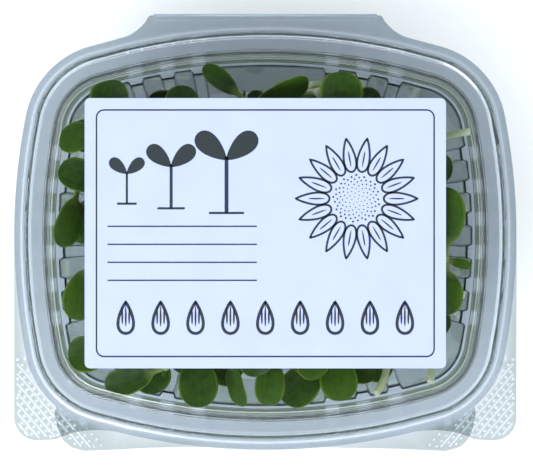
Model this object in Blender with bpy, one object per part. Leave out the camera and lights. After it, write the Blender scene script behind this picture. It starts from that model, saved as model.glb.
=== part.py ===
# Clear hinged food tray, shut, filled with cut sunflower sprouts, with a plain label on its lid.
# Metres, +Z up. The origin is under the middle of the tray. +Y points to the hinge at the back.

import math
import random

import bmesh
import bpy
from mathutils import Matrix, Vector
from mathutils.bvhtree import BVHTree

MM = 0.001

# Rim outline in plan, in millimetres, before its shift to the middle of the box
HALF_WIDTH = 92.3
HALF_DEPTH = 78.75
BOW_RADIUS = 230.0
CORNER_RADIUS = 33.0
BOW_STEPS = 6
CORNER_STEPS = 7

# The hinge strip at the back and the tabs at the front corners
HINGE_REACH = 81.1
HINGE_HALF_LENGTH = 42.9
HINGE_FLARE_START = 53.0
BASE_TAB_REACH = 79.3
LID_TAB_REACH = 75.3
LID_TAB_RADIUS = 8.5
FOLD_GAP = 0.15
CENTRE_Y = -(HINGE_REACH - FOLD_GAP - BASE_TAB_REACH) / 2

# Heights above the table
RIM_Z = 46.0
LEDGE_Z = 43.0
FLOOR_Z = 0.6
FLOOR_PANEL_Z = 1.8
LID_GAP = 0.3
LID_TOP_Z = 54.3
SHEET = 0.6

# Section of the tray from its edge inwards, as (inset, height) of its upper face
TRAY_RIM = [
    (2.3, RIM_Z),
    (3.2, RIM_Z + 1.4),
    (4.8, RIM_Z + 1.4),
    (5.7, RIM_Z),
    (10.4, RIM_Z),
    (11.0, LEDGE_Z),
]
LEDGE_INSET = 16.0
WALL_FOOT = (21.5, 4.0)
FLOOR_RING = (24.0, FLOOR_Z)
FLOOR_STEP = (31.0, FLOOR_Z)
FLOOR_PANEL = (32.5, FLOOR_PANEL_Z)

# Section of the lid from its edge inwards, as (inset, height) of its lower face
LID_FACE_Z = RIM_Z + LID_GAP
LID_SECTION = [
    (2.0, LID_FACE_Z),
    (2.95, LID_FACE_Z + 1.4),
    (5.05, LID_FACE_Z + 1.4),
    (6.0, LID_FACE_Z),
    (10.3, LID_FACE_Z),
    (11.2, LID_FACE_Z + 3.2),
    (12.9, LID_FACE_Z + 3.5),
    (13.6, LID_TOP_Z - 0.8),
    (15.3, LID_TOP_Z),
]

# Stiffening ribs of the tray wall, as places along each side
RIB_DEPTH = 1.8
RIB_FOOT_HALF = 2.95
RIB_TOP_HALF = 2.2
SIDE_RIBS = (-30.4, -18.2, -6.1, 6.1, 18.2, 30.4)
END_RIBS = (-48.0, -36.3, -24.7, 24.7, 36.3, 48.0)
END_PLAIN = (-12.0, 0.0, 12.0)
RIB_CORNER_STEPS = 5

# Label
LABEL_SIZE = (130.5, 97.6)
LABEL_CORNER = 2.0
LABEL_CORNER_STEPS = 3
LABEL_THICKNESS = 0.2
LABEL_GAP = 0.2

# Sprouts
STEM_RADIUS = 1.4
STEM_HEAD_RADIUS = 1.75
STEM_HEAD = 1.3
STEM_STEPS = 5
PETIOLE_SHARE = 0.2
PETIOLE_HALF = 1.0
BLADE_HALF_THICKNESS = 0.65
BLADE_ANGLES = (38, 78, 118, 154)
CLEARANCE = 0.35
SEED = 27
TRIES = 500
FILL_COUNT = 16
FILL_LEVELS = (4.6, 33.0)

# Seed leaves seen round the label: tip x, tip y, compass angle, length, width, height, roll
EDGE_LEAVES = [
    (-56.0, 57.1, 84, 19.8, 14.5, 50, 0),
    (-29.4, 57.6, 80, 19.1, 13.0, 37, 0),
    (-46.0, 49.5, 175, 21.0, 13.0, 32, 0),
    (-22.9, 62.3, 139, 19.5, 7.5, 46, 0),
    (15.7, 57.4, 15, 25.8, 11.0, 47, 55),
    (27.6, 59.7, 83, 22.1, 15.8, 50, 0),
    (45.5, 54.1, 32, 18.3, 13.0, 33, 0),
    (-72.2, 37.7, 165, 17.9, 12.5, 44, 0),
    (-75.5, 24.6, 162, 21.4, 12.0, 50, 0),
    (-75.0, -4.2, -94, 23.5, 11.0, 49, -45),
    (-67.3, -3.5, -98, 21.4, 13.0, 40, 0),
    (-69.5, -30.8, -104, 24.1, 13.0, 49, 0),
    (-72.5, -44.1, -176, 18.7, 13.5, 47, 0),
    (-58.9, -55.3, -162, 23.0, 10.5, 49, 0),
    (-60.7, -50.4, -156, 19.8, 11.0, 42, 0),
    (-40.1, -59.0, -76, 19.2, 14.0, 44, 0),
    (-23.8, -62.8, -81, 23.2, 14.5, 50, 0),
    (-7.8, -63.0, -86, 21.0, 9.0, 46, 50),
    (-9.4, -54.0, -32, 21.8, 13.0, 36, 0),
    (-2.7, -51.4, -80, 17.3, 12.0, 52, 0),
    (1.0, -62.4, -98, 21.4, 11.0, 48, 0),
    (6.9, -62.0, -132, 22.7, 14.0, 44, 0),
    (19.2, -52.3, -68, 17.3, 12.0, 51, 0),
    (28.0, -60.8, -79, 21.2, 14.0, 49, 0),
    (52.0, -51.6, -14, 21.9, 14.0, 38, 0),
    (70.3, 49.0, 22, 20.1, 11.0, 38, 0),
    (70.2, 23.7, -13, 19.6, 12.0, 36, 0),
    (69.3, -38.1, -51, 17.9, 11.0, 34, 0),
]

# The open pair on the right, with its first true leaf: crown, then angle, length and width of each
OPEN_PAIR_CROWN = (66.3, -8.9, 48.5)
OPEN_PAIR = [(94, 27.0, 15.0), (-93, 20.5, 13.0), (-14, 9.3, 4.0)]

# Cut stem ends seen round the label: end x, end y, compass angle towards the leaves, height
EDGE_STEMS = [
    (20.1, 53.5, -172, 43),
    (75.6, 38.3, -174, 47),
    (73.5, -21.9, 170, 46),
    (60.6, -54.0, 85, 47),
]


def remove_all_objects():
    for obj in list(bpy.data.objects):
        bpy.data.objects.remove(obj, do_unlink=True)


def make_material(name, color, roughness, alpha=1.0):
    material = bpy.data.materials.new(name)
    material.use_nodes = True
    shader = material.node_tree.nodes["Principled BSDF"]
    shader.inputs["Base Color"].default_value = (*color, 1.0)
    shader.inputs["Roughness"].default_value = roughness
    shader.inputs["Metallic"].default_value = 0.0
    shader.inputs["Alpha"].default_value = alpha
    return material


def add_object(name, bm, material):
    mesh = bpy.data.meshes.new(name)
    bm.to_mesh(mesh)
    bm.free()
    mesh.materials.append(material)
    obj = bpy.data.objects.new(name, mesh)
    bpy.context.scene.collection.objects.link(obj)
    return obj


# Plan geometry, in millimetres about the middle of the rim

def corner_centre():
    # The corner arc touches both bowed sides from within
    reach = BOW_RADIUS - CORNER_RADIUS
    side = Vector((HALF_WIDTH - BOW_RADIUS, 0.0))
    end = Vector((0.0, HALF_DEPTH - BOW_RADIUS))
    middle = (side + end) / 2
    half = (end - side) / 2
    across = Vector((-half.y, half.x)).normalized()
    return middle + across * math.sqrt(reach ** 2 - half.length ** 2)


CORNER = corner_centre()
SIDE_ANGLE = math.asin(CORNER.y / (BOW_RADIUS - CORNER_RADIUS))
END_ANGLE = math.asin(CORNER.x / (BOW_RADIUS - CORNER_RADIUS))
QUARTER = math.pi / 2


def bow_arcs():
    # Right, back, left and front: middle direction, half angle and centre
    side = HALF_WIDTH - BOW_RADIUS
    end = HALF_DEPTH - BOW_RADIUS
    return [
        (0.0, SIDE_ANGLE, Vector((side, 0.0))),
        (QUARTER, END_ANGLE, Vector((0.0, end))),
        (2 * QUARTER, SIDE_ANGLE, Vector((-side, 0.0))),
        (3 * QUARTER, END_ANGLE, Vector((0.0, -end))),
    ]


def corner_arc(index, inset, steps):
    # Corner after side number index, both ends included
    half_before = (SIDE_ANGLE, END_ANGLE)[index % 2]
    half_after = (END_ANGLE, SIDE_ANGLE)[index % 2]
    start = index * QUARTER + half_before
    stop = (index + 1) * QUARTER - half_after
    sign_x = (1, -1, -1, 1)[index]
    sign_y = (1, 1, -1, -1)[index]
    centre = Vector((sign_x * CORNER.x, sign_y * CORNER.y))
    return arc(centre, CORNER_RADIUS - inset, start, stop, steps)


def arc(centre, radius, start, stop, steps):
    points = []
    for i in range(steps + 1):
        angle = start + (stop - start) * i / steps
        points.append(centre + radius * Vector((math.cos(angle), math.sin(angle))))
    return points


def bezier(start, control, stop, steps):
    points = []
    for i in range(steps + 1):
        t = i / steps
        points.append((1 - t) ** 2 * start + 2 * t * (1 - t) * control + t ** 2 * stop)
    return points


def smooth_ring(inset):
    points = []
    for index, (middle, half, centre) in enumerate(bow_arcs()):
        bow = arc(centre, BOW_RADIUS - inset, middle - half, middle + half, BOW_STEPS)
        points += bow[:-1]
        points += corner_arc(index, inset, CORNER_STEPS)[:-1]
    return points


def ribbed_ring(inset, depth):
    # Ribs stand inwards from the wall by depth
    points = []
    for index, (middle, half, centre) in enumerate(bow_arcs()):
        is_end = index % 2 == 1
        places = [(s, 0.0) for s in (END_PLAIN if is_end else ())]
        for rib in (END_RIBS if is_end else SIDE_RIBS):
            places += [(rib - RIB_FOOT_HALF, 0.0), (rib - RIB_TOP_HALF, depth)]
            places += [(rib + RIB_TOP_HALF, depth), (rib + RIB_FOOT_HALF, 0.0)]
        radius = BOW_RADIUS - inset
        for place, inward in sorted(places):
            angle = middle + math.asin(place / radius)
            points.append(centre + (radius - inward) * Vector((math.cos(angle), math.sin(angle))))
        points += corner_arc(index, inset, RIB_CORNER_STEPS)
    return points


def back_y(x):
    # Rim outline at the back, for a place along it
    return HALF_DEPTH - BOW_RADIUS + math.sqrt(BOW_RADIUS ** 2 - x ** 2)


def hinge_edge():
    # Back edge from right to left: a flare, the straight strip and its mirror
    start = Vector((HINGE_FLARE_START, back_y(HINGE_FLARE_START)))
    turn = Vector((HINGE_FLARE_START - 5.5, back_y(HINGE_FLARE_START) + 1.3))
    strip_y = HINGE_REACH - FOLD_GAP
    right = bezier(start, turn, Vector((HINGE_HALF_LENGTH + 0.7, strip_y - 1.8)), 4)
    right.append(Vector((HINGE_HALF_LENGTH, strip_y - 0.5)))
    right.append(Vector((HINGE_HALF_LENGTH - 1.4, strip_y)))
    return right + mirrored(right)


def mirrored(points):
    return [Vector((-p.x, p.y)) for p in reversed(points)]


def front_bow(limit):
    # Front edge from left to right between two places on it
    half = math.asin(limit / BOW_RADIUS)
    centre = Vector((0.0, BOW_RADIUS - HALF_DEPTH))
    return arc(centre, BOW_RADIUS, 3 * QUARTER - half, 3 * QUARTER + half, 8)


def side_and_back_edge(side_start):
    # From the right side round the back to the left side
    right_centre = bow_arcs()[0][2]
    right = arc(right_centre, BOW_RADIUS, side_start, SIDE_ANGLE, BOW_STEPS)[:-1]
    right += corner_arc(0, 0.0, CORNER_STEPS)
    return right + hinge_edge() + mirrored(right)


def tray_flange_edge():
    # The tray's tabs face forwards, with one straight edge that runs into the front bow
    corner = corner_arc(2, 0.0, CORNER_STEPS)[:5]
    tab = [
        Vector((-77.4, -66.8)),
        Vector((-75.9, -72.2)),
        Vector((-74.2, -75.6)),
        Vector((-71.3, -78.0)),
        Vector((-66.5, -BASE_TAB_REACH)),
        Vector((-50.0, -78.5)),
        Vector((-33.0, -77.8)),
    ]
    left = corner + tab
    return side_and_back_edge(-SIDE_ANGLE) + left[1:] + front_bow(19.0) + mirrored(left[1:-1])


def lid_flange_edge():
    # The lid's tabs face sideways: each runs straight on from the widest part of the side
    corner = Vector((-HALF_WIDTH + LID_TAB_RADIUS, -LID_TAB_REACH + LID_TAB_RADIUS))
    tab = arc(corner, LID_TAB_RADIUS, 2 * QUARTER, 3 * QUARTER, 6)
    flare = bezier(Vector((-76.8, -74.9)), Vector((-68.5, -70.3)), Vector((-55.3, -back_y(55.3))), 5)
    left = tab + flare[:-1]
    return side_and_back_edge(0.0) + left + front_bow(55.3) + mirrored(left)


def inside_depth(x, y):
    # Distance of a point within the rim outline, measured inwards from it
    x = abs(x)
    y = abs(y)
    side = BOW_RADIUS - math.hypot(x - HALF_WIDTH + BOW_RADIUS, y)
    end = BOW_RADIUS - math.hypot(x, y - HALF_DEPTH + BOW_RADIUS)
    angle = math.atan2(y - CORNER.y, x - CORNER.x)
    if SIDE_ANGLE < angle < QUARTER - END_ANGLE:
        return CORNER_RADIUS - math.hypot(x - CORNER.x, y - CORNER.y)
    return min(side, end)


# Shells

def add_loop(bm, points, z):
    return [bm.verts.new((p.x * MM, (p.y + CENTRE_Y) * MM, z * MM)) for p in points]


def join_loops(bm, outer, inner):
    count = len(outer)
    for i in range(count):
        k = (i + 1) % count
        bm.faces.new((outer[i], outer[k], inner[k], inner[i]))


def fill_flat(bm, *loops):
    # Fills a flat ring or panel between closed loops that lie in one level
    edges = []
    for loop in loops:
        for i, vert in enumerate(loop):
            pair = (vert, loop[(i + 1) % len(loop)])
            edges.append(bm.edges.get(pair) or bm.edges.new(pair))
    bmesh.ops.triangle_fill(bm, use_beauty=True, use_dissolve=False, edges=edges)


def face_all(bm, up):
    # Turns an open sheet so that its flat parts look up or down
    bmesh.ops.recalc_face_normals(bm, faces=bm.faces[:])
    lean = sum(face.normal.z * face.calc_area() for face in bm.faces)
    if (lean > 0) != up:
        bmesh.ops.reverse_faces(bm, faces=bm.faces[:])


def thicken(obj):
    solidify = obj.modifiers.new("sheet", "SOLIDIFY")
    solidify.thickness = SHEET * MM
    solidify.offset = -1.0
    solidify.use_even_offset = True
    solidify.use_rim = True
    obj.data.shade_smooth()
    obj.data.set_sharp_from_angle(angle=math.radians(25))


def make_tray(material):
    bm = bmesh.new()
    edge = add_loop(bm, tray_flange_edge(), RIM_Z)
    rim = [add_loop(bm, smooth_ring(inset), z) for inset, z in TRAY_RIM]
    fill_flat(bm, edge, rim[0])
    for outer, inner in zip(rim, rim[1:]):
        join_loops(bm, outer, inner)
    wall_top = add_loop(bm, ribbed_ring(LEDGE_INSET, RIB_DEPTH), LEDGE_Z)
    wall_foot = add_loop(bm, ribbed_ring(WALL_FOOT[0], RIB_DEPTH), WALL_FOOT[1])
    floor_ring = add_loop(bm, ribbed_ring(FLOOR_RING[0], 0.0), FLOOR_RING[1])
    fill_flat(bm, rim[-1], wall_top)
    join_loops(bm, wall_top, wall_foot)
    join_loops(bm, wall_foot, floor_ring)
    step = add_loop(bm, smooth_ring(FLOOR_STEP[0]), FLOOR_STEP[1])
    panel = add_loop(bm, smooth_ring(FLOOR_PANEL[0]), FLOOR_PANEL[1])
    fill_flat(bm, floor_ring, step)
    join_loops(bm, step, panel)
    fill_flat(bm, panel)
    face_all(bm, True)
    tray = add_object("tray_base", bm, material)
    thicken(tray)
    return tray


def make_lid(material):
    bm = bmesh.new()
    edge = add_loop(bm, lid_flange_edge(), LID_FACE_Z)
    rings = [add_loop(bm, smooth_ring(inset), z) for inset, z in LID_SECTION]
    fill_flat(bm, edge, rings[0])
    for outer, inner in zip(rings, rings[1:]):
        join_loops(bm, outer, inner)
    fill_flat(bm, rings[-1])
    face_all(bm, False)
    # The mesh hangs from an empty on the fold line, so the lid turns about it
    fold = Vector((0.0, (HINGE_REACH + CENTRE_Y) * MM, (RIM_Z + FOLD_GAP) * MM))
    pivot = bpy.data.objects.new("lid_pivot", None)
    pivot.location = fold
    bpy.context.scene.collection.objects.link(pivot)
    bmesh.ops.translate(bm, verts=bm.verts, vec=-fold)
    lid = add_object("lid", bm, material)
    lid.parent = pivot
    thicken(lid)
    return pivot


def make_label(material, pivot):
    bm = bmesh.new()
    half_x = LABEL_SIZE[0] / 2 - LABEL_CORNER
    half_y = LABEL_SIZE[1] / 2 - LABEL_CORNER
    outline = []
    for index, (sx, sy) in enumerate(((1, 1), (-1, 1), (-1, -1), (1, -1))):
        centre = Vector((sx * half_x, sy * half_y - CENTRE_Y))
        start = index * QUARTER
        outline += arc(centre, LABEL_CORNER, start, start + QUARTER, LABEL_CORNER_STEPS)
    bottom_z = LID_TOP_Z + SHEET + LABEL_GAP
    face = bm.faces.new(add_loop(bm, outline, bottom_z))
    top = bmesh.ops.extrude_face_region(bm, geom=[face])["geom"]
    top_verts = [item for item in top if isinstance(item, bmesh.types.BMVert)]
    bmesh.ops.translate(bm, verts=top_verts, vec=(0.0, 0.0, LABEL_THICKNESS * MM))
    bmesh.ops.translate(bm, verts=bm.verts, vec=-pivot.location)
    bmesh.ops.recalc_face_normals(bm, faces=bm.faces[:])
    label = add_object("label", bm, material)
    label.parent = pivot


# Sprouts, in millimetres

def blade_stations(length, width, grow):
    # Distance, half width and half thickness along a seed leaf: a short stalk, then an oval
    petiole = PETIOLE_SHARE * length
    stations = [(0.0, PETIOLE_HALF + grow, BLADE_HALF_THICKNESS + grow)]
    stations.append((petiole * 0.8, PETIOLE_HALF + grow, BLADE_HALF_THICKNESS + grow))
    for degrees in BLADE_ANGLES:
        angle = math.radians(degrees)
        along = petiole + (length - petiole) * (1 - math.cos(angle)) / 2
        half = width / 2 * math.sin(angle) * (1 - 0.15 * math.cos(angle))
        stations.append((along, half + grow, BLADE_HALF_THICKNESS + grow))
    return stations


def add_blade(parts, place, length, width, curl, cup, grow):
    # A cupped blade with four corners to each cross-section and a point at its tip
    verts, faces = parts
    first = len(verts)
    stations = blade_stations(length, width, grow)

    def spot(along, side, lift):
        bend = curl * along / length
        x = length * math.sin(bend) / curl
        z = length * (1 - math.cos(bend)) / curl
        lift_dir = Vector((-math.sin(bend), 0.0, math.cos(bend)))
        return place @ (Vector((x, side, z)) + lift_dir * lift)

    for along, half, thick in stations:
        rise = cup * half
        verts.append(spot(along, half, rise))
        verts.append(spot(along, 0.0, thick))
        verts.append(spot(along, -half, rise))
        verts.append(spot(along, 0.0, -thick))
    verts.append(spot(length + grow, 0.0, 0.0))
    tip = len(verts) - 1
    for ring in range(len(stations) - 1):
        a = first + 4 * ring
        for i in range(4):
            k = (i + 1) % 4
            faces.append((a + i, a + k, a + 4 + k, a + 4 + i))
    last = tip - 4
    for i in range(4):
        faces.append((last + i, last + (i + 1) % 4, tip))
    faces.append((first + 3, first + 2, first + 1, first))


def stem_stations(crown, heading, length, bend, drop):
    # Centre, direction and radius along a stem: a swollen head round the crown, then a bent tube
    along = Vector((math.cos(heading), math.sin(heading), 0.0))
    stations = [(crown - along * STEM_HEAD, along, STEM_RADIUS * 0.8)]
    stations.append((crown, along, STEM_HEAD_RADIUS))
    point = crown + along * 2 * STEM_HEAD
    step = length / STEM_STEPS
    for i in range(STEM_STEPS + 1):
        turn = heading + bend * i / STEM_STEPS
        along = Vector((math.cos(turn), math.sin(turn), 0.0))
        stations.append((point, along, STEM_RADIUS))
        point = point + along * step - Vector((0.0, 0.0, drop / STEM_STEPS))
    return stations


def add_stem(parts, stations, grow):
    # A four-sided tube through the stations
    verts, faces = parts
    first = len(verts)
    lift = Vector((0.0, 0.0, 1.0))
    for i, (point, along, station_radius) in enumerate(stations):
        side = Vector((-along.y, along.x, 0.0))
        radius = station_radius + grow
        centre = point - along * grow if i == 0 else point
        if i == len(stations) - 1:
            centre = point + along * grow
        verts.extend((centre + side * radius, centre + lift * radius))
        verts.extend((centre - side * radius, centre - lift * radius))
    for ring in range(len(stations) - 1):
        a = first + 4 * ring
        for i in range(4):
            k = (i + 1) % 4
            faces.append((a + k, a + i, a + 4 + i, a + 4 + k))
    last = len(verts) - 4
    faces.append((first, first + 1, first + 2, first + 3))
    faces.append((last + 3, last + 2, last + 1, last))


def blade_place(crown, azimuth, pitch, roll):
    turn = Matrix.Rotation(azimuth, 4, "Z")
    tilt = Matrix.Rotation(-pitch, 4, "Y") @ Matrix.Rotation(roll, 4, "X")
    return Matrix.Translation(crown) @ turn @ tilt


def sprout_parts(sprout, grow):
    # The stem and each blade as separate closed lists of points and faces
    crown = sprout["crown"]
    stem = ([], [])
    stations = stem_stations(crown, sprout["stem_heading"], sprout["stem_length"],
                             sprout["stem_bend"], sprout["stem_drop"])
    add_stem(stem, stations, grow)
    parts = [stem]
    for azimuth, pitch, roll, length, width, curl, cup in sprout["leaves"]:
        blade = ([], [])
        add_blade(blade, blade_place(crown, azimuth, pitch, roll), length, width, curl, cup, grow)
        parts.append(blade)
    return parts


def wall_limit(z):
    # Least inset from the rim outline at which something fits, for a height
    if z > LID_FACE_Z + 3.0:
        return 14.3
    if z > LEDGE_Z + 0.5:
        return 12.4
    share = (LEDGE_Z - z) / (LEDGE_Z - WALL_FOOT[1])
    return LEDGE_INSET + RIB_DEPTH + 0.4 + share * (WALL_FOOT[0] - LEDGE_INSET)


def fits_in_tray(parts):
    for verts, faces in parts:
        for v in verts:
            if not FLOOR_PANEL_Z + 0.3 < v.z < LID_TOP_Z - 0.2:
                return False
            if inside_depth(v.x, v.y) < wall_limit(v.z):
                return False
    return True


def merged(parts):
    verts = []
    faces = []
    for part_verts, part_faces in parts:
        shift = len(verts)
        verts += part_verts
        faces += [tuple(i + shift for i in face) for face in part_faces]
    return verts, faces


def second_leaf(rng, azimuth, length, width):
    # The other seed leaf of a pair opens to one side of the first
    spread = math.radians(rng.uniform(60, 150)) * rng.choice((-1, 1))
    size = rng.uniform(0.85, 1.0)
    curl = math.radians(rng.uniform(-34, -14))
    pitch = -curl / 2 + math.radians(rng.uniform(-22, 4))
    roll = math.radians(rng.uniform(-35, 35))
    width = max(width, 11.0) * size
    return (azimuth + spread, pitch, roll, length * size, width, curl, rng.uniform(0.1, 0.3))


def inward_heading(rng, crown):
    # From the crown towards somewhere in the middle of the heap
    target_x = rng.uniform(-38, 38)
    target_y = rng.uniform(-28, 28)
    return math.atan2(target_y - crown.y, target_x - crown.x)


def leaf_sprout(rng, spec, ease):
    # A sprout hung from the tip of its seen leaf, which gives way as ease grows
    tip_x, tip_y, degrees, length, width, z, roll_degrees = spec
    azimuth = math.radians(degrees + rng.uniform(-4, 4))
    roll = math.radians(roll_degrees + rng.uniform(-10, 10))
    curl = math.radians(rng.uniform(-34, -14))
    pitch = -curl / 2 + math.radians(rng.uniform(-3, 12))
    cup = rng.uniform(0.1, 0.3)
    back = rng.uniform(0, 7 * ease)
    tip_z = min(z + rng.uniform(-1.5 - 5 * ease, 1.0), LID_TOP_Z - 1.5)
    tip = Vector((tip_x - back * math.cos(azimuth), tip_y - back * math.sin(azimuth), tip_z))
    turned = blade_place(Vector(), azimuth, pitch, roll)
    reach = Vector((length * math.sin(curl) / curl, 0.0, length * (1 - math.cos(curl)) / curl))
    crown = tip - turned @ reach
    leaves = [(azimuth, pitch, roll, length, width, curl, cup)]
    leaves.append(second_leaf(rng, azimuth, length, width))
    return {
        "crown": crown,
        "leaves": leaves,
        "stem_heading": inward_heading(rng, crown),
        "stem_length": rng.uniform(34, 58),
        "stem_bend": math.radians(rng.uniform(-60, 60)),
        "stem_drop": rng.uniform(2, min(36, crown.z - 5)),
    }


def pair_sprout(rng, spec, ease):
    # The open pair: every leaf is set, and only the height and the stem are drawn
    crown = Vector(OPEN_PAIR_CROWN) + Vector((0.0, 0.0, rng.uniform(-2, 1)))
    leaves = []
    for degrees, length, width in spec:
        curl = math.radians(rng.uniform(-30, -15))
        pitch = -curl / 2 + math.radians(rng.uniform(-4, 6))
        roll = math.radians(rng.uniform(-8, 8))
        leaves.append((math.radians(degrees), pitch, roll, length, width, curl, 0.15))
    return {
        "crown": crown,
        "leaves": leaves,
        "stem_heading": inward_heading(rng, crown),
        "stem_length": rng.uniform(34, 58),
        "stem_bend": math.radians(rng.uniform(-60, 60)),
        "stem_drop": rng.uniform(4, 30),
    }


def stem_sprout(rng, spec, ease):
    # A sprout hung from the cut end of its seen stem
    end_x, end_y, degrees, z = spec
    heading = math.radians(degrees + rng.uniform(-4, 4))
    bend = math.radians(rng.uniform(-50, 50))
    length = rng.uniform(28, 50)
    drop = rng.uniform(-2, 14)
    end = Vector((end_x, end_y, z + rng.uniform(-2 - 4 * ease, 1)))
    backwards = stem_stations(Vector(), heading + bend + math.pi, length, -bend, -drop)
    crown = end - backwards[-1][0]
    azimuth = heading + bend
    return {
        "crown": crown,
        "leaves": twin_leaves(rng, azimuth, rng.uniform(17, 22), rng.uniform(10, 13)),
        "stem_heading": azimuth + math.pi,
        "stem_length": length,
        "stem_bend": -bend,
        "stem_drop": -drop,
    }


def twin_leaves(rng, azimuth, length, width):
    # A pair of seed leaves that opens evenly about the stem's line
    leaves = []
    for side in (-1, 1):
        spread = side * math.radians(rng.uniform(22, 72))
        curl = math.radians(rng.uniform(-34, -14))
        pitch = -curl / 2 + math.radians(rng.uniform(-10, 10))
        roll = math.radians(rng.uniform(-35, 35))
        leaves.append((azimuth + spread, pitch, roll, length, width, curl, rng.uniform(0.1, 0.3)))
    return leaves


def fill_sprout(rng, level, ease):
    # A sprout lying anywhere in the middle of the heap, at its own level
    azimuth = rng.uniform(0, 2 * math.pi)
    crown = Vector((rng.uniform(-52, 52), rng.uniform(-40, 40), level + rng.uniform(0, 3)))
    return {
        "crown": crown,
        "leaves": twin_leaves(rng, azimuth, rng.uniform(18, 24), rng.uniform(11, 14)),
        "stem_heading": azimuth + math.pi + math.radians(rng.uniform(-15, 15)),
        "stem_length": rng.uniform(38, 62),
        "stem_bend": math.radians(rng.uniform(-60, 60)),
        "stem_drop": rng.uniform(-4, min(6, crown.z - 4.2)),
    }


def sprouts_wanted():
    # The seen ones first, from the top down, then the hidden heap from the floor up
    wanted = [(pair_sprout, OPEN_PAIR)]
    wanted += [(stem_sprout, spec) for spec in EDGE_STEMS]
    wanted += [(leaf_sprout, spec) for spec in sorted(EDGE_LEAVES, key=lambda spec: -spec[5])]
    lowest, highest = FILL_LEVELS
    for i in range(FILL_COUNT):
        wanted.append((fill_sprout, lowest + (highest - lowest) * i / (FILL_COUNT - 1)))
    return wanted


def place_sprouts():
    # Each sprout is drawn again until it is clear of the tray and of those before it
    rng = random.Random(SEED)
    placed = []
    heap = ([], [])
    tree = None
    for maker, spec in sprouts_wanted():
        for attempt in range(TRIES):
            sprout = maker(rng, spec, attempt / TRIES)
            grown = sprout_parts(sprout, CLEARANCE)
            if not fits_in_tray(grown):
                continue
            if tree and tree.overlap(BVHTree.FromPolygons(*merged(grown))):
                continue
            placed.append(sprout)
            heap = merged([heap] + sprout_parts(sprout, 0.0))
            tree = BVHTree.FromPolygons(*heap)
            break
    return placed


def part_object(name, part, material):
    verts, faces = part
    bm = bmesh.new()
    shifted = [bm.verts.new((v.x * MM, (v.y + CENTRE_Y) * MM, v.z * MM)) for v in verts]
    for face in faces:
        bm.faces.new([shifted[i] for i in face])
    bmesh.ops.triangulate(bm, faces=bm.faces[:])
    bmesh.ops.recalc_face_normals(bm, faces=bm.faces[:])
    return add_object(name, bm, material)


def make_sprout(name, sprout, material):
    # The blades are joined to the stem, so the sprout is one closed body
    stem, *blades = [part_object(f"{name}_part", part, material) for part in sprout_parts(sprout, 0.0)]
    collection = bpy.data.collections.new(f"{name}_blades")
    for blade in blades:
        collection.objects.link(blade)
    union = stem.modifiers.new("union", "BOOLEAN")
    union.operation = "UNION"
    union.operand_type = "COLLECTION"
    union.collection = collection
    union.solver = "EXACT"
    depsgraph = bpy.context.evaluated_depsgraph_get()
    mesh = bpy.data.meshes.new_from_object(stem.evaluated_get(depsgraph))
    mesh.name = name
    obj = bpy.data.objects.new(name, mesh)
    bpy.context.scene.collection.objects.link(obj)
    for part in [stem] + blades:
        bpy.data.objects.remove(part, do_unlink=True)
    bpy.data.collections.remove(collection)
    return obj


def main():
    remove_all_objects()
    clear = make_material("clear_plastic", (0.72, 0.78, 0.84), 0.05, 0.35)
    paper = make_material("label_paper", (0.80, 0.88, 0.97), 0.45)
    leaf = make_material("seed_leaf", (0.07, 0.17, 0.03), 0.45)
    make_tray(clear)
    pivot = make_lid(clear)
    make_label(paper, pivot)
    for i, sprout in enumerate(place_sprouts()):
        make_sprout(f"sprout_{i + 1:02d}", sprout, leaf)


main()
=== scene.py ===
import math
import random

import bmesh
import bpy
from mathutils import Matrix, Vector
from mathutils.bvhtree import BVHTree
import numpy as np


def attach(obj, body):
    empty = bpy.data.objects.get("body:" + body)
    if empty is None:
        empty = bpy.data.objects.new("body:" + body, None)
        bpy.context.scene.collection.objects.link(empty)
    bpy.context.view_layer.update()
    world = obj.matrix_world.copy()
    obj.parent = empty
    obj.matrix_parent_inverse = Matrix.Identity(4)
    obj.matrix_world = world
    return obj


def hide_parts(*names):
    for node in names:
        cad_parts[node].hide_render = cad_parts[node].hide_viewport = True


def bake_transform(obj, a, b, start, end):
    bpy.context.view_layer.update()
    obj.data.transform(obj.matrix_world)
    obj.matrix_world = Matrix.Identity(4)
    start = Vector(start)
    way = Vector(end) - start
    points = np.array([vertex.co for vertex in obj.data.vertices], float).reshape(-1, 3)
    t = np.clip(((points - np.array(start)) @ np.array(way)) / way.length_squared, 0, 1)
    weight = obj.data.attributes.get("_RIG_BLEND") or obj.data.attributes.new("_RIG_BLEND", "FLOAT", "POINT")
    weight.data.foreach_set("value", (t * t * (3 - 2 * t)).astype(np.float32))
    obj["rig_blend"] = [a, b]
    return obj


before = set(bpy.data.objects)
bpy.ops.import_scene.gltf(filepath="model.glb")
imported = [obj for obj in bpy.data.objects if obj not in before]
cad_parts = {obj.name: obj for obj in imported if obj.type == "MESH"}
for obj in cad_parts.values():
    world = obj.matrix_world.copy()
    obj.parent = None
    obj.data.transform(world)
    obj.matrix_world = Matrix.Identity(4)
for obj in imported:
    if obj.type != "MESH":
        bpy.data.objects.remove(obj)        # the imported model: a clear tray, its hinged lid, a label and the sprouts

mm = 0.001
quarter = math.pi / 2
plasticIndex = 1.575
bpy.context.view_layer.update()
bpy.context.scene.view_settings.view_transform = "Standard"
# Light crosses up to a dozen clear faces on its way through the tray
bpy.context.scene.cycles.max_bounces = 28
bpy.context.scene.cycles.transmission_bounces = 28
bpy.context.scene.cycles.transparent_max_bounces = 24


# Small tools for materials and meshes

def linearColour(hexCode, alpha=1.0):
    # sRGB hex to the linear values that a shader works in
    channels = [int(hexCode[i:i + 2], 16) / 255 for i in (1, 3, 5)]
    return (*[c / 12.92 if c <= 0.04045 else ((c + 0.055) / 1.055) ** 2.4 for c in channels], alpha)


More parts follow.
